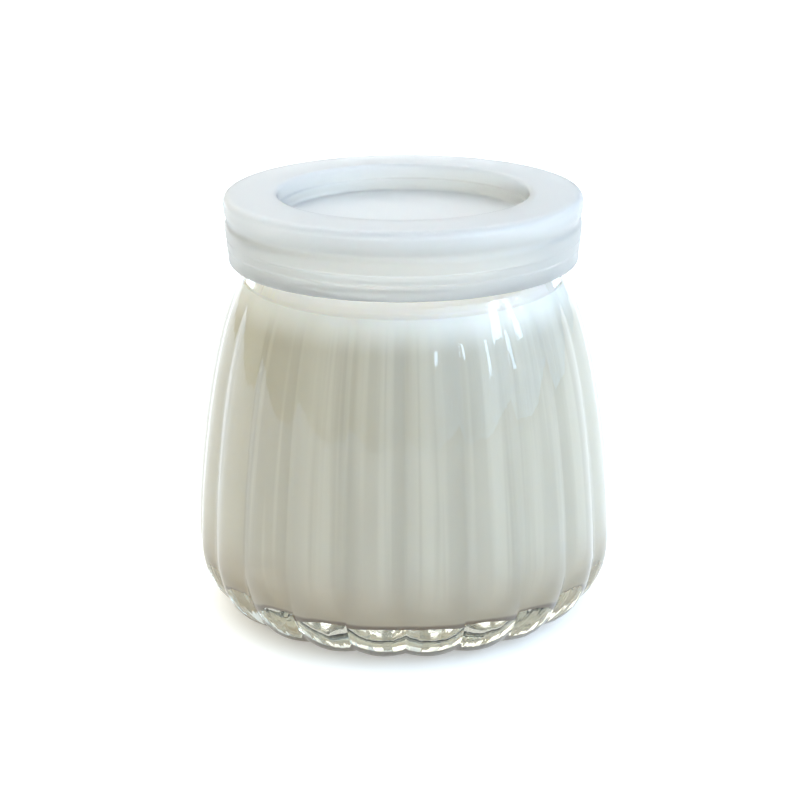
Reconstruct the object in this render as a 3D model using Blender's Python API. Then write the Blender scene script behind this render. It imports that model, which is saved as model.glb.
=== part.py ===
"""Glass pudding jar with a plastic snap lid, modelled at real size.

Units are metres and +Z is up. The jar stands on the plane z = 0 with its
axis on the Z axis. There are three solids: the fluted glass jar, the set
pudding inside it and the translucent lid that snaps over its lip.
"""

import math

import bmesh
import bpy

MM = 0.001

# Driving dimensions of the whole
OVERALL_HEIGHT = 74.8 * MM
LID_RADIUS = 31.0 * MM
LID_HEIGHT = 11.6 * MM
BODY_RADIUS = 37.3 * MM
FOOT_RADIUS = 27.0 * MM
GAP = 0.3 * MM

# Flutes: soft convex ribs with a valley facing -Y, deepest at the foot
FLUTES = 22
STEPS_PER_FLUTE = 6
FOOT_FLUTE_DEPTH = 1.4 * MM
SIDE_FLUTE_DEPTH = 0.9 * MM
FLUTE_FADE = 0.5
CREASE = 0.8
SIDES = FLUTES * STEPS_PER_FLUTE
ROUND_SIDES = SIDES // 2

# Outer side of the glass, from the heel up to the neck
HEEL_HEIGHT = 13.1 * MM
NECK_HEIGHT = 62.8 * MM
TAPER = 7.3 * MM
TAPER_POWER = 1.6
SHOULDER = 3.0 * MM
SHOULDER_POWER = 6.0
HEEL_STEPS = 5
BODY_STEPS = 7

# Inside of the glass
WALL = 2.4 * MM
BASE_THICKNESS = 6.8 * MM
INNER_FLOOR_RADIUS = 23.0 * MM
INNER_HEEL_HEIGHT = 10.0 * MM
INNER_HEEL_STEPS = 4
INNER_BODY_STEPS = 5
MOUTH_HEIGHT = 66.0 * MM

# Underside: a flat foot ring round a shallow push-up
PUSH_UP_RADIUS = 20.0 * MM
PUSH_UP_SLOPE = 1.5 * MM
PUSH_UP_DEPTH = 0.8 * MM

# Lid
LID_TOP_THICKNESS = 1.3 * MM
RIM_FLAT_RADIUS = 29.5 * MM
SHOULDER_FILLET = 1.8 * MM
RECESS_RADIUS = 21.7 * MM
RECESS_DEPTH = 4.5 * MM
RECESS_FILLET = 0.8 * MM
PLUG_WALL = 1.0 * MM
FLOOR_THICKNESS = 1.0 * MM
PLUG_CHAMFER = 0.6 * MM
GROOVE_DEPTH_DOWN = 4.3 * MM
GROOVE_RADIUS = 30.7 * MM
BAND_RADIUS = 30.9 * MM
SKIRT_EDGE_RADIUS = 30.5 * MM
SKIRT_WALL = 1.2 * MM
SNAP_HEIGHT = 2.0 * MM
FILLET_STEPS = 3

# Lip of the glass, worked out from the lid that it fits
MOUTH_RADIUS = RECESS_RADIUS + PLUG_WALL + 1.2 * GAP
LIP_TOP = OVERALL_HEIGHT - LID_TOP_THICKNESS - GAP
LIP_RADIUS = 27.9 * MM
LIP_ROUND = 0.9 * MM
BEAD_RADIUS = 28.7 * MM
BEAD_BOTTOM = 65.9 * MM
BEAD_HEIGHT = 2.0 * MM
BEAD_SLOPE = 0.9 * MM
SNAP_RADIUS = 28.1 * MM

# Pudding
PUDDING_LEVEL = 60.0 * MM

CLEAR_GLASS = ("clear glass", (0.86, 0.90, 0.88), 0.03, 0.0)
FROSTED_PLASTIC = ("frosted plastic", (0.82, 0.85, 0.86), 0.35, 0.0)
MILK_PUDDING = ("milk pudding", (0.80, 0.77, 0.70), 0.45, 0.0)


def clear_scene():
    """Remove every object that the scene holds."""
    for thing in list(bpy.data.objects):
        bpy.data.objects.remove(thing, do_unlink=True)


def make_material(finish):
    """Return a Principled material from a (name, colour, roughness, metallic) finish."""
    name, colour, roughness, metallic = finish
    material = bpy.data.materials.new(name)
    material.use_nodes = True
    shader = material.node_tree.nodes["Principled BSDF"]
    shader.inputs["Base Color"].default_value = (*colour, 1.0)
    shader.inputs["Roughness"].default_value = roughness
    shader.inputs["Metallic"].default_value = metallic
    return material


def flute_depth(height):
    """Return how deep the valleys between the ribs are at a height."""
    if height < HEEL_HEIGHT:
        rise = height / HEEL_HEIGHT
        return FOOT_FLUTE_DEPTH + (SIDE_FLUTE_DEPTH - FOOT_FLUTE_DEPTH) * rise
    rise = (height - HEEL_HEIGHT) / (NECK_HEIGHT - HEEL_HEIGHT)
    return SIDE_FLUTE_DEPTH * max(1.0 - rise, 0.0) ** FLUTE_FADE


def valley_share(across):
    """Return 1 in a valley and 0 on a crest, for a place from 0 to 1 across one rib."""
    rounded = 0.5 + 0.5 * math.cos(2.0 * math.pi * across)
    creased = (2.0 * across - 1.0) ** 2
    return CREASE * creased + (1.0 - CREASE) * rounded


def side_radius(height):
    """Return the radius over the ribs' crests between the heel and the neck."""
    rise = min(max((height - HEEL_HEIGHT) / (NECK_HEIGHT - HEEL_HEIGHT), 0.0), 1.0)
    return BODY_RADIUS - TAPER * rise ** TAPER_POWER - SHOULDER * rise ** SHOULDER_POWER


def inner_radius(height):
    """Return the round inside radius of the glass above its heel."""
    neck_bore = side_radius(NECK_HEIGHT) - WALL
    if height <= NECK_HEIGHT:
        return side_radius(height) - flute_depth(height) - WALL
    share = min((height - NECK_HEIGHT) / (MOUTH_HEIGHT - NECK_HEIGHT), 1.0)
    return neck_bore + (MOUTH_RADIUS - neck_bore) * share


def fluted_ring(bm, radius, height):
    """Add a ring of vertices with its crests at a radius and a valley facing -Y."""
    depth = flute_depth(height)
    ring = []
    for step in range(SIDES):
        turn = 2.0 * math.pi * step / SIDES
        across = (step % STEPS_PER_FLUTE) / STEPS_PER_FLUTE
        reach = radius - depth * valley_share(across)
        ring.append(bm.verts.new((reach * math.sin(turn), -reach * math.cos(turn), height)))
    return ring


def round_ring(bm, radius, height):
    """Add a round ring with half as many vertices as a fluted one, and return it."""
    ring = []
    for step in range(ROUND_SIDES):
        turn = 2.0 * math.pi * step / ROUND_SIDES
        ring.append(bm.verts.new((radius * math.sin(turn), -radius * math.cos(turn), height)))
    return ring


def join_rings(bm, first, second):
    """Fill the band between two rings, of equal size or one twice the other."""
    if len(first) < len(second):
        first, second = second, first
    if len(first) == len(second):
        for step, vertex in enumerate(first):
            after = (step + 1) % len(first)
            bm.faces.new((vertex, first[after], second[after], second[step]))
        return
    for step, vertex in enumerate(second):
        after = second[(step + 1) % len(second)]
        start, middle, end = (first[(2 * step + part) % len(first)] for part in range(3))
        bm.faces.new((start, middle, vertex))
        bm.faces.new((middle, after, vertex))
        bm.faces.new((middle, end, after))


def cap_ring(bm, ring, height):
    """Close a ring with triangles to a point on the axis."""
    centre = bm.verts.new((0.0, 0.0, height))
    for step, vertex in enumerate(ring):
        bm.faces.new((vertex, ring[(step + 1) % len(ring)], centre))


def close_body(name, bm, rings, first_cap, last_cap, finish):
    """Join the rings into one closed body between two caps, and return its object."""
    for lower, upper in zip(rings, rings[1:]):
        join_rings(bm, lower, upper)
    cap_ring(bm, rings[0], first_cap)
    cap_ring(bm, rings[-1], last_cap)
    bmesh.ops.recalc_face_normals(bm, faces=bm.faces)
    mesh = bpy.data.meshes.new(name)
    bm.to_mesh(mesh)
    bm.free()
    mesh.materials.append(make_material(finish))
    mesh.shade_smooth()
    mesh.set_sharp_from_angle(angle=math.radians(30.0))
    body = bpy.data.objects.new(name, mesh)
    bpy.context.collection.objects.link(body)
    return body


def spread(start, end, steps):
    """Return evenly spaced values after start, up to and including end."""
    return [start + (end - start) * (step + 1) / steps for step in range(steps)]


def inner_heel(inset):
    """Return (radius, height) pairs round the inside of the heel, moved in by inset."""
    top = BASE_THICKNESS + INNER_HEEL_HEIGHT
    reach = inner_radius(top) - INNER_FLOOR_RADIUS - inset
    drop = INNER_HEEL_HEIGHT - inset
    pairs = []
    for step in range(INNER_HEEL_STEPS + 1):
        turn = 0.5 * math.pi * step / INNER_HEEL_STEPS
        pairs.append((INNER_FLOOR_RADIUS + reach * math.sin(turn), top - drop * math.cos(turn)))
    return pairs


def inner_side():
    """Return the heights of the rings on the inside of the glass above its heel."""
    heights = spread(BASE_THICKNESS + INNER_HEEL_HEIGHT, NECK_HEIGHT, INNER_BODY_STEPS)
    return sorted(heights + [PUDDING_LEVEL, MOUTH_HEIGHT])


def build_jar():
    """Build the glass: foot, fluted side, neck, snap bead, lip and smooth inside."""
    bm = bmesh.new()
    rings = [
        round_ring(bm, PUSH_UP_RADIUS - PUSH_UP_SLOPE, PUSH_UP_DEPTH),
        round_ring(bm, PUSH_UP_RADIUS, 0.0),
    ]
    for step in range(HEEL_STEPS + 1):
        turn = 0.5 * math.pi * step / HEEL_STEPS
        radius = FOOT_RADIUS + (BODY_RADIUS - FOOT_RADIUS) * math.sin(turn)
        height = HEEL_HEIGHT * (1.0 - math.cos(turn))
        rings.append(fluted_ring(bm, radius, height))
    for height in spread(HEEL_HEIGHT, NECK_HEIGHT, BODY_STEPS):
        rings.append(fluted_ring(bm, side_radius(height), height))
    neck = side_radius(NECK_HEIGHT)
    bead_top = BEAD_BOTTOM + BEAD_HEIGHT
    outside = [
        (neck, BEAD_BOTTOM - BEAD_SLOPE),
        (BEAD_RADIUS, BEAD_BOTTOM),
        (BEAD_RADIUS, bead_top),
        (LIP_RADIUS, bead_top + BEAD_SLOPE),
        (LIP_RADIUS, LIP_TOP - LIP_ROUND),
        (LIP_RADIUS - LIP_ROUND, LIP_TOP),
        (MOUTH_RADIUS + LIP_ROUND, LIP_TOP),
        (MOUTH_RADIUS, LIP_TOP - LIP_ROUND),
    ]
    rings += [round_ring(bm, radius, height) for radius, height in outside]
    for height in reversed(inner_side()):
        rings.append(round_ring(bm, inner_radius(height), height))
    for radius, height in reversed(inner_heel(0.0)):
        rings.append(round_ring(bm, radius, height))
    return close_body("jar", bm, rings, PUSH_UP_DEPTH, BASE_THICKNESS, CLEAR_GLASS)


def build_pudding():
    """Build the set pudding: it fills the inside of the glass up to its level."""
    bm = bmesh.new()
    rings = [round_ring(bm, radius, height) for radius, height in inner_heel(GAP)]
    for height in inner_side():
        if height <= PUDDING_LEVEL:
            rings.append(round_ring(bm, inner_radius(height) - GAP, height))
    return close_body("pudding", bm, rings, BASE_THICKNESS + GAP, PUDDING_LEVEL, MILK_PUDDING)


def fillet(centre_radius, centre_height, size_out, size_up, start, end):
    """Return (radius, height) pairs along an elliptical fillet between two angles."""
    pairs = []
    for step in range(FILLET_STEPS + 1):
        turn = math.radians(start + (end - start) * step / FILLET_STEPS)
        pairs.append((centre_radius + size_out * math.cos(turn),
                      centre_height + size_up * math.sin(turn)))
    return pairs


def build_lid():
    """Build the lid: recessed centre, rounded rim, grooved skirt, snap bead and plug."""
    top = OVERALL_HEIGHT
    floor = top - RECESS_DEPTH
    bottom = top - LID_HEIGHT
    ceiling = top - LID_TOP_THICKNESS
    plug = RECESS_RADIUS + PLUG_WALL
    skirt = SKIRT_EDGE_RADIUS - SKIRT_WALL
    profile = [(RECESS_RADIUS, floor)]
    profile += fillet(RECESS_RADIUS + RECESS_FILLET, top - RECESS_FILLET,
                      RECESS_FILLET, RECESS_FILLET, 180.0, 90.0)
    profile += fillet(RIM_FLAT_RADIUS, top - SHOULDER_FILLET,
                      LID_RADIUS - RIM_FLAT_RADIUS, SHOULDER_FILLET, 90.0, 0.0)
    groove = top - GROOVE_DEPTH_DOWN
    profile += [
        (LID_RADIUS, groove + GAP),
        (GROOVE_RADIUS, groove),
        (BAND_RADIUS, groove - GAP),
        (SKIRT_EDGE_RADIUS, bottom + GAP),
        (SKIRT_EDGE_RADIUS - GAP, bottom),
        (skirt, bottom),
        (SNAP_RADIUS, bottom + 0.5 * SNAP_HEIGHT),
        (skirt, bottom + SNAP_HEIGHT),
        (LID_RADIUS - SKIRT_WALL, ceiling),
        (plug, ceiling),
        (plug, floor - FLOOR_THICKNESS + PLUG_CHAMFER),
        (plug - PLUG_CHAMFER, floor - FLOOR_THICKNESS),
    ]
    bm = bmesh.new()
    rings = [round_ring(bm, radius, height) for radius, height in profile]
    return close_body("lid", bm, rings, floor, floor - FLOOR_THICKNESS, FROSTED_PLASTIC)


def main():
    """Build the jar, the pudding in it and the lid on it."""
    clear_scene()
    build_jar()
    build_pudding()
    build_lid()


main()
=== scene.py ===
"""Looks of a fluted glass jar of milk pudding under a translucent snap lid.

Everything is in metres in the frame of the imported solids: +Z is up, the jar
stands on z = 0 with its axis on the Z axis, and -Y faces the viewer. Three
pieces are made here, each in place of one solid: the pressed glass with its
22 ribs, the set pudding, which reaches just into the glass wall, and the lid.
"""

import logging
import math
from collections.abc import Mapping, Sequence
from dataclasses import dataclass, field
from enum import Enum

import bpy
import numpy as np
from mathutils import Matrix, Vector


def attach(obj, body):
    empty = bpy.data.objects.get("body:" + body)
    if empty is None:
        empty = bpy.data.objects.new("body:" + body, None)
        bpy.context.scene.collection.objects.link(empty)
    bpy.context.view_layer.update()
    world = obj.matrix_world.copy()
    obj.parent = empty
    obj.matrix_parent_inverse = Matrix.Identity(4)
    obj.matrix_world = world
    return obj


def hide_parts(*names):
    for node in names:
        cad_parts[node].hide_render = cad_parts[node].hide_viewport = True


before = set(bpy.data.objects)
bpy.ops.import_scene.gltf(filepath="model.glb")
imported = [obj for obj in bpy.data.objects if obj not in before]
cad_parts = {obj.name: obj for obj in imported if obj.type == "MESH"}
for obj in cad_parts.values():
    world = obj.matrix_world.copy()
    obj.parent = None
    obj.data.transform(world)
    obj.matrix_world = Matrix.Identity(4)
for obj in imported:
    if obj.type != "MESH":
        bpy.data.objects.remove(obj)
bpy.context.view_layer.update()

MM = 0.001
INNER_RING = 1.0 * MM
ROUNDING_LIMIT = 0.49
SHARP_ANGLE = 40.0
LOG = logging.getLogger("pudding_jar")

Triple = tuple[float, float, float]
Rgb = Triple
Outline = list[tuple[float, float]]


class Node(Enum):
    """The solids that the pieces stand for."""

    JAR = "jar"
    PUDDING = "pudding"
    LID = "lid"


class Slot(Enum):
    """The record's material slots."""

    GLASS = "clear_glass"
    PUDDING = "milk_pudding"
    PLASTIC = "frosted_plastic"


class Value:
    """A number in a node tree, so that shader maths reads as Python."""

    def __init__(self, recipe: "Recipe", socket: bpy.types.NodeSocket) -> None:
        """Wrap an output socket that carries one number, with the recipe that it belongs to."""
        self.recipe = recipe
        self.socket = socket

    def _math(self, operation: str, first: "Feed", second: "Feed") -> "Value":
        """Add a Math node that works on two inputs, and return its result."""
        made = self.recipe.node("ShaderNodeMath", {"operation": operation}, {0: first, 1: second})
        return Value(self.recipe, made.outputs[0])

    def __add__(self, other: "Feed") -> "Value":
        """Return the sum."""
        return self._math("ADD", self, other)

    def __radd__(self, other: "Feed") -> "Value":
        """Return the sum with a plain number in front."""
        return self._math("ADD", other, self)

    def __mul__(self, other: "Feed") -> "Value":
        """Return the product."""
        return self._math("MULTIPLY", self, other)

    def __rmul__(self, other: "Feed") -> "Value":
        """Return the product with a plain number in front."""
        return self._math("MULTIPLY", other, self)

    def __pow__(self, other: "Feed") -> "Value":
        """Return the power."""
        return self._math("POWER", self, other)

    def __rpow__(self, other: "Feed") -> "Value":
        """Return a plain number to the power of this one."""
        return self._math("POWER", other, self)


Feed = Value | bpy.types.NodeSocket | float | Sequence[float]


class Recipe:
    """The node tree of a material or of the sky, and the one method that adds its nodes."""

    def __init__(self, owner: bpy.types.Material | bpy.types.World) -> None:
        """Start with an empty node tree.

        Args:
            owner: the new material or world that the nodes belong to.
        """
        owner.use_nodes = True
        self.owner = owner
        self.tree = owner.node_tree
        self.tree.nodes.clear()

    def node(
        self,
        kind: str,
        settings: Mapping[str, object] | None = None,
        sockets: Mapping[str | int, Feed] | None = None,
    ) -> bpy.types.Node:
        """Add a node.

        Args:
            kind: the node's type.
            settings: its settings, which are set first.
            sockets: the value or link of each input, by name or number.

        Returns:
            The new node.
        """
        made = self.tree.nodes.new(kind)
        for name, setting in (settings or {}).items():
            setattr(made, name, setting)
        for key, feed in (sockets or {}).items():
            if isinstance(feed, Value):
                feed = feed.socket
            if isinstance(feed, bpy.types.NodeSocket):
                self.tree.links.new(feed, made.inputs[key])
            else:
                made.inputs[key].default_value = feed
        return made

    def vector(self, operation: str, sockets: Mapping[str | int, Feed]) -> bpy.types.Node:
        """Add a Vector Math node and return it."""
        return self.node("ShaderNodeVectorMath", {"operation": operation}, sockets)

    def place(self, stretch: Triple = (1.0, 1.0, 1.0)) -> bpy.types.NodeSocket:
        """Return the point on the piece in metres, with each axis times its stretch."""
        coordinates = self.node("ShaderNodeTexCoord").outputs["Object"]
        return self.vector("MULTIPLY", {0: coordinates, 1: stretch}).outputs[0]

    def height(self) -> Value:
        """Return the height above the foot in metres."""
        return Value(self, self.node("ShaderNodeSeparateXYZ", {}, {0: self.place()}).outputs["Z"])

    def radius(self) -> Value:
        """Return the distance from the jar's axis in metres."""
        flat = self.place((1.0, 1.0, 0.0))
        return Value(self, self.vector("LENGTH", {0: flat}).outputs["Value"])

    def meridian(self, rise: float) -> bpy.types.NodeSocket:
        """Return the direction from the jar's axis, with the height in metres times a rise as Z."""
        flat = self.vector("NORMALIZE", {0: self.place((1.0, 1.0, 0.0))}).outputs[0]
        return self.vector("ADD", {0: flat, 1: self.place((0.0, 0.0, rise))}).outputs[0]

    def noise(
        self,
        scale: float,
        detail: float,
        stretch: Triple = (1.0, 1.0, 1.0),
        place: bpy.types.NodeSocket | None = None,
    ) -> Value:
        """Return soft random values round one half, read at the place or the stretched point."""
        sockets = {"Vector": place or self.place(stretch), "Scale": scale, "Detail": detail}
        return Value(self, self.node("ShaderNodeTexNoise", {}, sockets).outputs[0])

    def ramp(self, value: Value, low: float, high: float) -> Value:
        """Make a smooth step.

        Args:
            value: what the step follows.
            low: where the step starts.
            high: where it ends; it may lie under low.

        Returns:
            0 before the start, 1 past the end and a smooth rise between.
        """
        settings = {"interpolation_type": "SMOOTHSTEP"}
        sockets = {"Value": value, "From Min": low, "From Max": high}
        return Value(self, self.node("ShaderNodeMapRange", settings, sockets).outputs[0])

    def blend(self, share: Value, first: Feed, second: Feed) -> bpy.types.NodeSocket:
        """Return a colour between two, the first at share 0 and the second at share 1."""
        sockets = {0: share, 6: first, 7: second}
        return self.node("ShaderNodeMix", {"data_type": "RGBA"}, sockets).outputs[2]

    def bump(self, relief: Value, distance: float) -> bpy.types.NodeSocket:
        """Return a normal tilted by relief, whose value 1 stands a distance in metres proud."""
        return self.node("ShaderNodeBump", {}, {"Height": relief, "Distance": distance}).outputs[0]

    def finish(
        self, surface: bpy.types.Node, volume: bpy.types.Node | None = None
    ) -> bpy.types.Material:
        """Plug the shaders into the output and return the material.

        Args:
            surface: the surface shader.
            volume: the shader of what is inside, or None.

        Returns:
            The finished material.
        """
        sockets = {"Surface": surface.outputs[0]}
        if volume is not None:
            sockets["Volume"] = volume.outputs[0]
        self.node("ShaderNodeOutputMaterial", {}, sockets)
        return self.owner


def opaque(colour: Rgb) -> tuple[float, float, float, float]:
    """Return a colour with a full alpha."""
    return (*colour, 1.0)


@dataclass(frozen=True)
class ClearGlass:
    """Fire-polished soda glass: clear, a little olive in the depth, with faint pressed ripples."""

    side_tint: Rgb = (0.995, 0.997, 0.992)
    foot_tint: Rgb = (0.90, 0.89, 0.82)
    refraction: float = 1.5
    depth_colour: Rgb = (0.986, 0.99, 0.974)
    depth_density: float = 60.0
    hair_height: float = 0.020 * MM
    streak_height: float = 0.050 * MM
    swell_height: float = 0.12 * MM
    hair_scale: float = 40.0
    hair_rise: float = 2.0
    streak_scale: float = 13.0
    streak_rise: float = 8.0
    swell_scale: float = 70.0
    foot_top: float = 16.0 * MM
    foot_low: float = 4.0 * MM
    foot_relief: float = 1.5

    def material(self) -> bpy.types.Material:
        """Mix the glass.

        Returns:
            The material.
        """
        recipe = Recipe(bpy.data.materials.new("clear glass"))
        foot_share = recipe.ramp(recipe.height(), self.foot_top, self.foot_low)
        hairs = recipe.noise(self.hair_scale, detail=1.0, place=recipe.meridian(self.hair_rise))
        streak_place = recipe.meridian(self.streak_rise)
        streaks = recipe.noise(self.streak_scale, detail=1.0, place=streak_place)
        swell = recipe.noise(self.swell_scale, detail=1.0, stretch=(1.0, 1.0, 0.5))
        ripples = (hairs * (self.hair_height / self.swell_height)
                   + streaks * (self.streak_height / self.swell_height) + swell)
        relief = ripples * (foot_share * self.foot_relief + 1.0)
        shader = recipe.node("ShaderNodeBsdfPrincipled", {}, {
            "Base Color": recipe.blend(foot_share, opaque(self.side_tint), opaque(self.foot_tint)),
            "Roughness": 0.0,
            "IOR": self.refraction,
            "Transmission Weight": 1.0,
            "Normal": recipe.bump(relief, self.swell_height),
        })
        depth = recipe.node("ShaderNodeVolumeAbsorption", {}, {
            "Color": opaque(self.depth_colour),
            "Density": self.depth_density,
        })
        return recipe.finish(shader, depth)


@dataclass(frozen=True)
class FrostedPlastic:
    """Milky, half translucent polyethylene with a satin skin and painted shade down the skirt and
    recess wall.
    """

    colour: Rgb = (0.972, 0.977, 0.964)
    shade: Rgb = (0.964, 0.970, 0.957)
    # painted shade: darker colour down the skirt and on the recess wall
    painted_side_shade: Rgb = (0.75, 0.74, 0.71)
    side_height: float = 74.3 * MM
    side_fade: float = 5.0 * MM
    side_radius: float = 20.4 * MM
    side_reach: float = 1.0 * MM
    refraction: float = 1.5
    clearness: float = 0.83
    roughness: float = 0.40
    scatter: float = 1.5 * MM
    scatter_colour: Rgb = (0.9, 1.0, 1.0)
    grain_height: float = 0.004 * MM
    flow_height: float = 0.03 * MM
    cloud_scale: float = 120.0
    grain_scale: float = 4000.0
    flow_scale: float = 90.0
    grain_roughness: float = 0.06

    def material(self) -> bpy.types.Material:
        """Mix the plastic.

        Returns:
            The material.
        """
        recipe = Recipe(bpy.data.materials.new("frosted plastic"))
        cloud = recipe.noise(self.cloud_scale, detail=2.0)
        grain = recipe.noise(self.grain_scale, detail=2.0)
        flow = recipe.noise(self.flow_scale, detail=1.0)
        # painted shade: masks by height and radius that darken the skirt and recess wall
        side_end = self.side_height - self.side_fade
        painted_low_share = recipe.ramp(recipe.height(), self.side_height, side_end)
        outer_end = self.side_radius + self.side_reach
        painted_shade_outer_share = recipe.ramp(recipe.radius(), self.side_radius, outer_end)
        smoothest = self.roughness - 0.5 * self.grain_roughness
        tone = recipe.blend(cloud, opaque(self.colour), opaque(self.shade))
        relief = grain * (self.grain_height / self.flow_height) + flow
        shader = recipe.node("ShaderNodeBsdfPrincipled", {}, {
            "Base Color": recipe.blend(painted_low_share * painted_shade_outer_share, tone, opaque(self.painted_side_shade)),
            "Roughness": grain * self.grain_roughness + smoothest,
            "IOR": self.refraction,
            "Transmission Weight": self.clearness,
            "Subsurface Weight": 1.0,
            "Subsurface Radius": self.scatter_colour,
            "Subsurface Scale": self.scatter,
            "Normal": recipe.bump(relief, self.flow_height),
        })
        return recipe.finish(shader)


@dataclass(frozen=True)
class MilkPudding:
    """Smooth set milk pudding, creamy and faintly clouded, painted lighter and glowing at the top
    for the light through the lid, painted darker low down.
    """

    # painted light: the pudding near the top is painted lighter for the light falling from above
    # and through the lid
    painted_light_top_colour: Rgb = (0.99, 0.97, 0.91)
    colour: Rgb = (0.600, 0.555, 0.450)
    streak_colour: Rgb = (0.525, 0.480, 0.380)
    # painted shade: darker and warmer towards the bottom of the pudding
    painted_low_shade: Rgb = (0.50, 0.425, 0.32)
    # painted shade: a thin dark line where the pudding's lower edge meets the glass
    painted_edge_shade: Rgb = (0.20, 0.13, 0.08)
    roughness: float = 0.45
    scatter: float = 0.8 * MM
    scatter_colour: Rgb = (1.0, 0.8, 0.55)
    scatter_share: float = 0.5
    low_height: float = 22.0 * MM
    low_end: float = 8.0 * MM
    edge_height: float = 7.3 * MM
    edge_fade: float = 0.7 * MM
    top_height: float = 53.0 * MM
    top_end: float = 60.0 * MM
    # painted light: a faint glow on the pudding's top, standing for the light through the lid
    lid_light: Rgb = (0.15, 0.125, 0.09)
    lit_height: float = 59.4 * MM
    lit_fade: float = 0.6 * MM
    cloud_scale: float = 110.0
    cloud_roughness: float = 0.1
    pore_scale: float = 1500.0
    pore_height: float = 0.01 * MM
    streak_scale: float = 11.0
    streak_rise: float = 0.5
    streak_from: float = 0.44
    streak_to: float = 0.58

    def material(self) -> bpy.types.Material:
        """Mix the pudding.

        Returns:
            The material.
        """
        recipe = Recipe(bpy.data.materials.new("milk pudding"))
        cloud = recipe.noise(self.cloud_scale, detail=3.0, stretch=(1.0, 1.0, 0.5))
        pores = recipe.noise(self.pore_scale, detail=2.0)
        height = recipe.height()
        drift = recipe.noise(self.streak_scale, detail=4.0, place=recipe.meridian(self.streak_rise))
        streaks = recipe.ramp(drift, self.streak_from, self.streak_to)
        # painted shade: mask that darkens the pudding towards the bottom
        painted_low_share = recipe.ramp(height, self.low_height, self.low_end)
        # painted shade: mask for the dark line at the pudding's lower edge
        painted_edge_share = recipe.ramp(height, self.edge_height + self.edge_fade, self.edge_height)
        # painted light: mask that lightens the pudding near its top
        painted_light_top_share = recipe.ramp(height, self.top_height, self.top_end)
        # painted light: mask for the glow at the pudding's top
        lit_share = recipe.ramp(height, self.lit_height - self.lit_fade, self.lit_height)
        body = recipe.blend(streaks, opaque(self.colour), opaque(self.streak_colour))
        body = recipe.blend(painted_low_share, body, opaque(self.painted_low_shade))
        body = recipe.blend(painted_edge_share, body, opaque(self.painted_edge_shade))
        body = recipe.blend(painted_light_top_share, body, opaque(self.painted_light_top_colour))
        # painted light: the glow colour fed to Emission
        light = recipe.blend(lit_share, opaque((0.0, 0.0, 0.0)), opaque(self.lid_light))
        smoothest = self.roughness - 0.5 * self.cloud_roughness
        shader = recipe.node("ShaderNodeBsdfPrincipled", {}, {
            "Base Color": body,
            "Roughness": cloud * self.cloud_roughness + smoothest,
            "Subsurface Weight": self.scatter_share,
            "Subsurface Radius": self.scatter_colour,
            "Subsurface Scale": self.scatter,
            "Emission Color": light,
            "Emission Strength": 1.0,
            "Normal": recipe.bump(pores, self.pore_height),
        })
        return recipe.finish(shader)


@dataclass(frozen=True)
class PaleFloor:
    """Plain pale paper for the jar to stand on."""

    colour: Rgb = (0.86, 0.86, 0.85)
    fleck: Rgb = (0.845, 0.845, 0.835)
    cloud_scale: float = 6.0
    roughness: float = 0.9
    gloss: float = 0.2
    glow: float = 0.3

    def material(self) -> bpy.types.Material:
        """Mix the paper.

        Returns:
            The material.
        """
        recipe = Recipe(bpy.data.materials.new("pale floor"))
        cloud = recipe.noise(self.cloud_scale, detail=3.0)
        tone = recipe.blend(cloud, opaque(self.colour), opaque(self.fleck))
        shader = recipe.node("ShaderNodeBsdfPrincipled", {}, {
            "Base Color": tone,
            "Roughness": self.roughness,
            "Specular IOR Level": self.gloss,
            "Emission Color": tone,
            "Emission Strength": self.glow,
        })
        return recipe.finish(shader)


@dataclass(frozen=True)
class Corner:
    """A corner of a turned outline, and how far its rounding reaches along each side."""

    radius: float
    height: float
    rounding: float = 0.0


def rounded(corners: Sequence[Corner], steps: int) -> Outline:
    """Round off the corners of an outline.

    Args:
        corners: the outline's corners in order; the first and last stay sharp.
        steps: how many steps a rounding has.

    Returns:
        The points of the outline.
    """
    points = [Vector((corner.radius, corner.height)) for corner in corners]
    outline = [tuple(points[0])]
    for before, here, after, corner in zip(points, points[1:], points[2:], corners[1:]):
        back = before - here
        ahead = after - here
        reach = min(corner.rounding, ROUNDING_LIMIT * back.length, ROUNDING_LIMIT * ahead.length)
        if reach == 0.0:
            outline.append(tuple(here))
            continue
        start = here + back.normalized() * reach
        end = here + ahead.normalized() * reach
        for step in range(steps + 1):
            share = step / steps
            point = start.lerp(here, share).lerp(here.lerp(end, share), share)
            outline.append(tuple(point))
    outline.append(tuple(points[-1]))
    return outline


def refined(outline: Outline, longest: float) -> Outline:
    """Split every step of an outline that is longer than a length.

    Args:
        outline: the points.
        longest: the longest step that stays whole.

    Returns:
        The points with the new ones between them.
    """
    fine = [outline[0]]
    for (radius, height), (next_radius, next_height) in zip(outline, outline[1:]):
        length = math.hypot(next_radius - radius, next_height - height)
        parts = max(math.ceil(length / longest), 1)
        for part in range(1, parts + 1):
            share = part / parts
            fine.append((radius + (next_radius - radius) * share,
                         height + (next_height - height) * share))
    return fine


def ring(radius: float, height: float, dents: np.ndarray) -> np.ndarray:
    """Lay out one ring of points, from -Y round towards +X.

    Args:
        radius: the ring's radius.
        height: its height.
        dents: how far each of its points lies inside that radius.

    Returns:
        The points, one to a row.
    """
    turn = 2.0 * math.pi * np.arange(len(dents)) / len(dents)
    reach = radius - dents
    level = np.full(len(dents), height)
    return np.stack([reach * np.sin(turn), -reach * np.cos(turn), level], axis=1)


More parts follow.
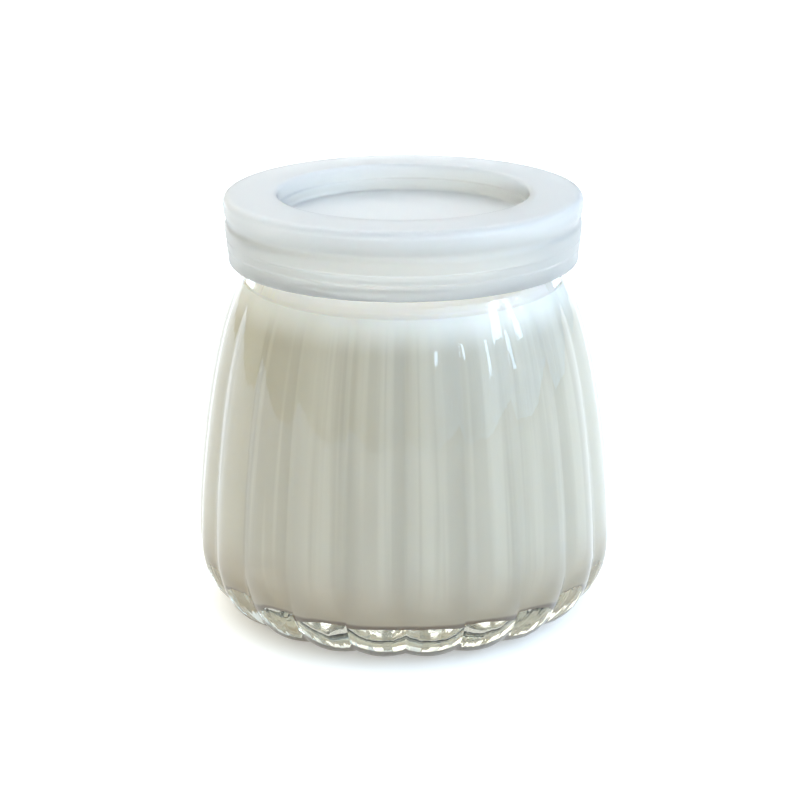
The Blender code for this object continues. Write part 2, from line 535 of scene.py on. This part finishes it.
def turned_piece(name: str, rings: Sequence[np.ndarray]) -> bpy.types.Object:
    """Join rings into one closed body that is capped at both ends.

    Args:
        name: the piece's name.
        rings: rings with equally many points, from the underside's centre outwards,
            up, over the top and in again to the centre.

    Returns:
        The new object.
    """
    sides = len(rings[0])
    centres = [(0.0, 0.0, rings[0][0][2]), (0.0, 0.0, rings[-1][0][2])]
    points = np.concatenate([*rings, centres])
    first_centre = len(points) - 2
    last_start = (len(rings) - 1) * sides
    here = np.arange(sides)
    after = (here + 1) % sides
    faces = []
    for number in range(len(rings) - 1):
        low = number * sides
        band = np.stack([low + here, low + after, low + sides + after, low + sides + here], axis=1)
        faces += band.tolist()
    first_cap = [after, here, np.full(sides, first_centre)]
    last_cap = [last_start + here, last_start + after, np.full(sides, first_centre + 1)]
    faces += np.stack(first_cap, axis=1).tolist() + np.stack(last_cap, axis=1).tolist()
    mesh = bpy.data.meshes.new(name)
    mesh.from_pydata(points.tolist(), [], faces)
    mesh.validate()
    mesh.shade_smooth()
    mesh.set_sharp_from_angle(angle=math.radians(SHARP_ANGLE))
    piece = bpy.data.objects.new(name, mesh)
    bpy.context.scene.collection.objects.link(piece)
    return piece


def put_in_place(
    piece: bpy.types.Object, node: Node, material: bpy.types.Material
) -> None:
    """Dress a piece and let it stand for its solid.

    Args:
        piece: the new piece.
        node: the solid that it replaces.
        material: its finish.
    """
    piece.data.materials.append(material)
    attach(piece, "root")
    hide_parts(node.value)
    LOG.info("%s: %d faces, stands for %s", piece.name, len(piece.data.polygons), node.value)


@dataclass
class FlutedJar:
    """Pressed glass jar: soft ribs outside, a smooth round inside and a thick base."""

    body_radius: float = 37.3 * MM
    foot_radius: float = 27.0 * MM
    heel_height: float = 13.1 * MM
    neck_height: float = 62.8 * MM
    taper: float = 7.3 * MM
    taper_power: float = 1.6
    shoulder: float = 3.0 * MM
    shoulder_power: float = 6.0
    flutes: int = 22
    steps_per_flute: int = 20
    foot_flute_depth: float = 1.4 * MM
    side_flute_depth: float = 0.9 * MM
    heel_lobe: float = 0.3 * MM
    flute_fade: float = 0.5
    crease: float = 0.8
    wall: float = 2.4 * MM
    base_thickness: float = 6.8 * MM
    inner_floor_radius: float = 23.0 * MM
    inner_heel_height: float = 10.0 * MM
    mouth_radius: float = 23.06 * MM
    mouth_height: float = 66.0 * MM
    push_up_radius: float = 20.0 * MM
    push_up_slope: float = 1.5 * MM
    push_up_depth: float = 0.8 * MM
    push_up_top_round: float = 0.8 * MM
    push_up_foot_round: float = 0.5 * MM
    floor_step: float = 2.5 * MM
    lip_top: float = 73.2 * MM
    lip_radius: float = 27.9 * MM
    lip_round: float = 1.4 * MM
    lip_foot_round: float = 0.5 * MM
    bead_radius: float = 28.7 * MM
    bead_bottom: float = 65.9 * MM
    bead_height: float = 2.0 * MM
    bead_slope: float = 0.9 * MM
    bead_round: float = 0.6 * MM
    ring_step: float = 1.2 * MM
    heel_steps: int = 24

    def rise(self, height: float) -> float:
        """Return how far up the side a height is, from 0 at the heel to 1 at the neck."""
        share = (height - self.heel_height) / (self.neck_height - self.heel_height)
        return min(max(share, 0.0), 1.0)

    def flute_depth(self, height: float) -> float:
        """Find how deep the valleys between the ribs are.

        Args:
            height: the height above the foot.

        Returns:
            The depth, which is 0 at the neck.
        """
        if height < self.heel_height:
            share = height / self.heel_height
            lobe = self.heel_lobe * math.sin(math.pi * share)
            gain = self.side_flute_depth - self.foot_flute_depth
            return self.foot_flute_depth + gain * share + lobe
        return self.side_flute_depth * (1.0 - self.rise(height)) ** self.flute_fade

    def side_radius(self, height: float) -> float:
        """Return the radius over the ribs' crests at a height between the heel and the neck."""
        rise = self.rise(height)
        return (self.body_radius - self.taper * rise ** self.taper_power
                - self.shoulder * rise ** self.shoulder_power)

    def inner_radius(self, height: float) -> float:
        """Find the round inside radius of the glass above its heel.

        Args:
            height: the height above the foot.

        Returns:
            The radius, which narrows evenly from the neck to the mouth.
        """
        if height <= self.neck_height:
            return self.side_radius(height) - self.flute_depth(height) - self.wall
        neck_bore = self.side_radius(self.neck_height) - self.wall
        share = min((height - self.neck_height) / (self.mouth_height - self.neck_height), 1.0)
        return neck_bore + (self.mouth_radius - neck_bore) * share

    def dents(self, height: float, fluted: bool) -> np.ndarray:
        """Return how far each point of a ring lies inside its crests.

        Args:
            height: the ring's height.
            fluted: whether the ring has ribs.

        Returns:
            One depth for each point, with a valley at the first.
        """
        steps = np.arange(self.flutes * self.steps_per_flute) % self.steps_per_flute
        across = steps / self.steps_per_flute
        if not fluted:
            return 0.0 * across
        round_share = 0.5 + 0.5 * np.cos(2.0 * math.pi * across)
        creased_share = (2.0 * across - 1.0) ** 2
        share = self.crease * creased_share + (1.0 - self.crease) * round_share
        return self.flute_depth(height) * share

    def underside(self) -> Outline:
        """Draw the outline under the base: a shallow push-up inside a flat foot ring.

        Returns:
            The points from the centre outwards.
        """
        inner = self.push_up_radius - self.push_up_slope
        corners = [
            Corner(INNER_RING, self.push_up_depth),
            Corner(inner, self.push_up_depth, self.push_up_top_round),
            Corner(self.push_up_radius, 0.0, self.push_up_foot_round),
            Corner(self.foot_radius - self.foot_flute_depth - self.ring_step, 0.0),
        ]
        return refined(rounded(corners, 4), self.floor_step)

    def heel(self) -> Outline:
        """Draw the outline from the foot round the heel.

        Returns:
            The points up to the widest place.
        """
        outline = []
        for step in range(self.heel_steps + 1):
            turn = 0.5 * math.pi * step / self.heel_steps
            radius = self.foot_radius + (self.body_radius - self.foot_radius) * math.sin(turn)
            outline.append((radius, self.heel_height * (1.0 - math.cos(turn))))
        return outline

    def side(self) -> Outline:
        """Draw the outline up the side.

        Returns:
            The points from above the widest place to the neck.
        """
        steps = math.ceil((self.neck_height - self.heel_height) / self.ring_step)
        heights = np.linspace(self.heel_height, self.neck_height, steps + 1)[1:]
        return [(self.side_radius(height), height) for height in heights.tolist()]

    def finish_ring(self) -> Outline:
        """Draw the outline of the neck, the snap bead and the fire-rounded lip.

        Returns:
            The points from the neck over the lip and down into the mouth.
        """
        neck = self.side_radius(self.neck_height)
        bead_top = self.bead_bottom + self.bead_height
        corners = [
            Corner(neck, self.neck_height),
            Corner(neck, self.bead_bottom - self.bead_slope, self.bead_round),
            Corner(self.bead_radius, self.bead_bottom, self.bead_round),
            Corner(self.bead_radius, bead_top, self.bead_round),
            Corner(self.lip_radius, bead_top + self.bead_slope, self.lip_foot_round),
            Corner(self.lip_radius, self.lip_top, self.lip_round),
            Corner(self.mouth_radius, self.lip_top, self.lip_round),
            Corner(self.mouth_radius, self.mouth_height),
        ]
        return refined(rounded(corners, 6), self.ring_step)[1:]

    def inner_heel(self) -> Outline:
        """Draw the inside of the heel.

        Returns:
            The points from the floor up.
        """
        top = self.base_thickness + self.inner_heel_height
        reach = self.inner_radius(top) - self.inner_floor_radius
        outline = []
        for step in range(self.heel_steps + 1):
            turn = 0.5 * math.pi * step / self.heel_steps
            outline.append((self.inner_floor_radius + reach * math.sin(turn),
                            top - self.inner_heel_height * math.cos(turn)))
        return outline

    def inside(self) -> Outline:
        """Draw the whole inside.

        Returns:
            The points from the floor's centre up to the mouth.
        """
        ends = [(INNER_RING, self.base_thickness), (self.inner_floor_radius, self.base_thickness)]
        floor = refined(ends, self.floor_step)
        start = self.base_thickness + self.inner_heel_height
        steps = math.ceil((self.mouth_height - start) / self.ring_step)
        heights = np.linspace(start, self.mouth_height, steps + 1)[1:]
        wall = [(self.inner_radius(height), height) for height in heights.tolist()]
        return floor[:-1] + self.inner_heel() + wall

    def build(self) -> bpy.types.Object:
        """Build the glass, with ribs from the foot to the neck and round elsewhere.

        Returns:
            The piece.
        """
        inside = self.inside()[:-1][::-1]
        stretches = [
            (self.underside(), False),
            (self.heel() + self.side(), True),
            (self.finish_ring() + inside, False),
        ]
        rings = [ring(radius, height, self.dents(height, fluted))
                 for outline, fluted in stretches for radius, height in outline]
        return turned_piece("glass_jar", rings)

    def dress(self, piece: bpy.types.Object, finish: ClearGlass) -> None:
        """Give the glass its finish and its place."""
        put_in_place(piece, Node.JAR, finish.material())


@dataclass
class SetPudding:
    """The pudding, poured warm and set against the glass."""

    jar: FlutedJar
    level: float = 60.0 * MM
    into_wall: float = 0.45 * MM
    rib_share: float = 0.45
    meniscus: float = 0.5 * MM
    top_rings: int = 24

    def side(self) -> Outline:
        """Draw the outline against the glass, moved just into its wall.

        Returns:
            The points from the floor's centre up to the level.
        """
        inside = [point for point in self.jar.inside() if point[1] <= self.level]
        points = np.array(inside)
        along = np.gradient(points, axis=0)
        along /= np.linalg.norm(along, axis=1)[:, None]
        moved = points + self.into_wall * np.stack([along[:, 1], -along[:, 0]], axis=1)
        moved[:, 1] = np.minimum(moved[:, 1], self.level)
        return [tuple(point) for point in moved.tolist()]

    def top(self, edge: float) -> Outline:
        """Draw the set surface, lifted where it clings to the wall.

        Args:
            edge: the radius at the glass.

        Returns:
            The points from the glass inwards.
        """
        radii = np.linspace(edge, INNER_RING, self.top_rings)[1:]
        drop = self.meniscus * (1.0 - np.exp((radii - edge) / self.meniscus))
        return list(zip(radii.tolist(), (self.level - drop).tolist()))

    def build(self) -> bpy.types.Object:
        """Build the pudding, with the ribs faintly pressed into its side.

        Returns:
            The piece.
        """
        side = self.side()
        edge = side[-1][0]
        start = self.jar.base_thickness + self.jar.inner_heel_height
        rings = []
        for radius, height in side + self.top(edge):
            rise = min(max(height / start - 0.5, 0.0), 1.0)
            ribs = self.jar.dents(height, True) * self.rib_share * rise
            if radius < edge:
                ribs = ribs * (radius / edge) ** 2
            rings.append(ring(radius, height, ribs))
        return turned_piece("set_pudding", rings)

    def dress(self, piece: bpy.types.Object, finish: MilkPudding) -> None:
        """Give the pudding its finish and its place."""
        put_in_place(piece, Node.PUDDING, finish.material())


@dataclass
class SnapLid:
    """Moulded lid: a recessed centre, a broad rim, ringed skirt, snap bead and plug."""

    top: float = 74.8 * MM
    height: float = 11.6 * MM
    radius: float = 31.0 * MM
    shoulder_drop: float = 1.8 * MM
    recess_radius: float = 21.7 * MM
    recess_depth: float = 4.5 * MM
    recess_corner: float = 0.9 * MM
    recess_fillet: float = 0.8 * MM
    top_thickness: float = 1.3 * MM
    floor_thickness: float = 1.0 * MM
    plug_wall: float = 1.0 * MM
    skirt_wall: float = 1.2 * MM
    edge_radius: float = 30.5 * MM
    snap_radius: float = 28.1 * MM
    snap_height: float = 2.0 * MM
    ledge_down: float = 2.5 * MM
    ledge_width: float = 0.35 * MM
    ledge_fall: float = 0.3 * MM
    recess_taper: float = 0.2 * MM
    groove_down: float = 4.2 * MM
    groove_depth: float = 0.5 * MM
    groove_rise: float = 1.3 * MM
    groove_fall: float = 0.9 * MM
    ridge_in: float = 0.12 * MM
    step_in: float = 0.14 * MM
    step_half: float = 0.15 * MM
    steps_down: tuple[float, ...] = (7.3 * MM, 8.95 * MM)
    sides: int = 264
    ring_step: float = 0.6 * MM

    def underside(self) -> list[Corner]:
        """List the corners under the lid.

        Returns:
            The corners from the plug's centre out to the skirt's edge.
        """
        floor = self.top - self.recess_depth - self.floor_thickness
        ceiling = self.top - self.top_thickness
        plug = self.recess_radius + self.plug_wall
        skirt = self.edge_radius - self.skirt_wall
        bottom = self.top - self.height
        return [
            Corner(INNER_RING, floor),
            Corner(plug, floor, 0.6 * MM),
            Corner(plug, ceiling, 0.3 * MM),
            Corner(self.radius - self.skirt_wall, ceiling, 0.3 * MM),
            Corner(skirt, bottom + self.snap_height, 0.3 * MM),
            Corner(self.snap_radius, bottom + 0.5 * self.snap_height, 0.4 * MM),
            Corner(skirt, bottom, 0.2 * MM),
        ]

    def skirt(self) -> list[Corner]:
        """List the corners up the outside: two fine steps, then the broad groove.

        Returns:
            The corners from the skirt's edge up to the rim.
        """
        bottom = self.top - self.height
        corners = [Corner(self.edge_radius - self.step_in, bottom, 0.3 * MM)]
        reach = self.edge_radius
        for number, down in enumerate(reversed(self.steps_down)):
            height = self.top - down
            corners.append(Corner(reach, height - self.step_half, 0.1 * MM))
            reach = self.edge_radius + (number + 1) * self.step_in
            corners.append(Corner(reach, height + self.step_half, 0.15 * MM))
        groove = self.top - self.groove_down
        corners += [
            Corner(self.radius - self.ridge_in, groove - self.groove_fall, 0.4 * MM),
            Corner(self.radius - self.groove_depth, groove, 0.5 * MM),
            Corner(self.radius, groove + self.groove_rise, 0.6 * MM),
        ]
        return corners

    def rim(self) -> list[Corner]:
        """List the corners over the rounded rim and down past a ledge into the recess.

        Returns:
            The corners from the rim's outer edge in to the centre.
        """
        floor = self.top - self.recess_depth
        ledge = self.top - self.ledge_down
        low_radius = self.recess_radius - self.ledge_width
        return [
            Corner(self.radius, self.top, self.shoulder_drop),
            Corner(self.recess_radius, self.top, self.recess_fillet),
            Corner(self.recess_radius, ledge, 0.2 * MM),
            Corner(low_radius, ledge - self.ledge_fall, 0.2 * MM),
            Corner(low_radius - self.recess_taper, floor, self.recess_corner),
            Corner(INNER_RING, floor),
        ]

    def build(self) -> bpy.types.Object:
        """Build the lid.

        Returns:
            The piece.
        """
        corners = self.underside() + self.skirt() + self.rim()
        outline = refined(rounded(corners, 8), self.ring_step)
        smooth = np.zeros(self.sides)
        rings = [ring(radius, height, smooth) for radius, height in outline]
        return turned_piece("snap_lid", rings)

    def dress(self, piece: bpy.types.Object, finish: FrostedPlastic) -> None:
        """Give the lid its finish and its place."""
        put_in_place(piece, Node.LID, finish.material())


def pointing(azimuth: float, elevation: float) -> Vector:
    """Return a direction from the jar.

    Args:
        azimuth: degrees from the viewer's side towards +X.
        elevation: degrees above the floor.

    Returns:
        The unit vector.
    """
    around = math.radians(azimuth)
    above = math.radians(elevation)
    flat = math.cos(above)
    return Vector((math.sin(around) * flat, -math.cos(around) * flat, math.sin(above)))


@dataclass(frozen=True)
class WindowPane:
    """A small bright pane that faces the jar and shows as a highlight on the glass."""

    name: str
    azimuth: float
    elevation: float
    distance: float
    width: float
    height: float
    power: float
    colour: Rgb

    def hang(self, aim: Vector) -> bpy.types.Object:
        """Hang the pane as an area lamp.

        Args:
            aim: the point that it faces.

        Returns:
            The lamp's object.
        """
        lamp = bpy.data.lights.new(self.name, "AREA")
        lamp.shape = "RECTANGLE"
        lamp.size = self.width
        lamp.size_y = self.height
        lamp.energy = self.power
        lamp.color = self.colour
        away = pointing(self.azimuth, self.elevation)
        held = bpy.data.objects.new(self.name, lamp)
        held.location = aim + away * self.distance
        held.rotation_euler = away.to_track_quat("Z", "Y").to_euler()
        bpy.context.scene.collection.objects.link(held)
        return held


@dataclass(frozen=True)
class Glow:
    """A broad patch of soft light without an edge, far round the jar."""

    name: str
    azimuth: float
    elevation: float
    tightness: float
    strength: float
    colour: Rgb

    def shine(self, sky: Recipe, direction: bpy.types.NodeSocket) -> bpy.types.NodeSocket:
        """Add the patch's light to a sky.

        Args:
            sky: the sky's nodes.
            direction: the direction that is looked in.

        Returns:
            The patch's colour in that direction.
        """
        aim = pointing(self.azimuth, self.elevation)
        facing = sky.vector("DOT_PRODUCT", {0: direction, 1: tuple(aim)})
        facing.label = self.name
        share = (Value(sky, facing.outputs["Value"]) * 0.5 + 0.5) ** self.tightness
        shade = tuple(part * self.strength for part in self.colour)
        return sky.vector("SCALE", {0: shade, "Scale": share}).outputs[0]


@dataclass(frozen=True)
class Viewpoint:
    """The camera, placed so that the model's outline lies on the photograph's."""

    back: float = 330.0 * MM
    height: float = 148.47 * MM
    left: float = 0.73 * MM
    pitch_down: float = 18.733
    roll: float = -0.306
    focal_pixels: float = 1950.4
    frame_pixels: float = 800.0
    sensor: float = 36.0

    def set_up(self) -> None:
        """Make the camera and hand it to the scene."""
        lens = bpy.data.cameras.new("camera")
        lens.sensor_width = self.sensor
        lens.lens = self.focal_pixels / self.frame_pixels * self.sensor
        lens.clip_start = 0.01
        camera = bpy.data.objects.new("camera", lens)
        turned = Matrix.Rotation(math.radians(90.0 - self.pitch_down), 4, "X")
        rolled = Matrix.Rotation(math.radians(self.roll), 4, "Z")
        moved = Matrix.Translation((-self.left, -self.back, self.height))
        camera.matrix_world = moved @ turned @ rolled
        bpy.context.scene.collection.objects.link(camera)
        bpy.context.scene.camera = camera


@dataclass
class Studio:
    """A pale floor, a sky of soft glows, a few small window panes and the camera."""

    floor_size: float = 6.0
    aim: Vector = field(default_factory=lambda: Vector((0.0, 0.0, 40.0 * MM)))
    glows: tuple[Glow, ...] = (
        Glow("right", 72.0, 22.0, 4.0, 3.75, (0.60, 0.78, 1.0)),
        Glow("left", 258.0, 18.0, 4.0, 0.75, (1.0, 0.92, 0.50)),
        Glow("front", 330.0, 6.0, 6.0, 0.85, (1.0, 0.96, 0.82)),
        Glow("back", 208.0, 44.0, 12.0, 3.0, (0.95, 0.96, 0.98)),
        Glow("top", 0.0, 88.0, 8.0, 0.75, (0.95, 0.96, 0.98)),
    )
    panes: tuple[WindowPane, ...] = (
        WindowPane("pane_front", 24.0, 20.0, 1.0, 0.05, 0.08, 0.16, (0.62, 0.80, 1.0)),
        WindowPane("pane_near", 56.0, 15.0, 1.0, 0.06, 0.20, 0.36, (0.62, 0.80, 1.0)),
        WindowPane("pane_wide", 74.0, 23.0, 1.0, 0.12, 0.26, 0.95, (0.62, 0.80, 1.0)),
        WindowPane("pane_slim", 92.0, 26.0, 1.0, 0.05, 0.24, 0.42, (0.62, 0.80, 1.0)),
        WindowPane("pane_far", 115.0, 30.0, 1.0, 0.10, 0.16, 0.60, (1.0, 0.84, 0.76)),
        WindowPane("pane_last", 136.0, 22.0, 1.0, 0.05, 0.20, 0.32, (0.62, 0.80, 1.0)),
    )

    def build(self) -> None:
        """Make the floor, the lights and the camera."""
        half = 0.5 * self.floor_size
        corners = [(-half, -half, 0.0), (half, -half, 0.0), (half, half, 0.0), (-half, half, 0.0)]
        mesh = bpy.data.meshes.new("floor")
        mesh.from_pydata(corners, [], [(0, 1, 2, 3)])
        mesh.materials.append(PaleFloor().material())
        floor = bpy.data.objects.new("floor", mesh)
        bpy.context.scene.collection.objects.link(floor)
        for pane in self.panes:
            pane.hang(self.aim)
        self.light_sky()
        bpy.context.scene.view_settings.view_transform = "Standard"
        Viewpoint().set_up()
        LOG.info("studio: %d glows, %d window panes", len(self.glows), len(self.panes))

    def light_sky(self) -> None:
        """Light the surroundings with the glows."""
        world = bpy.data.worlds.new("sky")
        sky = Recipe(world)
        direction = sky.node("ShaderNodeTexCoord").outputs["Generated"]
        total = (0.0, 0.0, 0.0)
        for glow in self.glows:
            total = sky.vector("ADD", {0: glow.shine(sky, direction), 1: total}).outputs[0]
        background = sky.node("ShaderNodeBackground", {}, {"Color": total})
        sky.node("ShaderNodeOutputWorld", {}, {"Surface": background.outputs[0]})
        bpy.context.scene.world = world


def main() -> None:
    """Build the jar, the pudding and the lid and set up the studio."""
    logging.basicConfig(level=logging.INFO, format="%(name)s: %(message)s")
    jar = FlutedJar()
    jar.dress(jar.build(), ClearGlass())
    pudding = SetPudding(jar)
    pudding.dress(pudding.build(), MilkPudding())
    lid = SnapLid()
    lid.dress(lid.build(), FrostedPlastic())
    Studio().build()


if __name__ == "__main__":
    main()
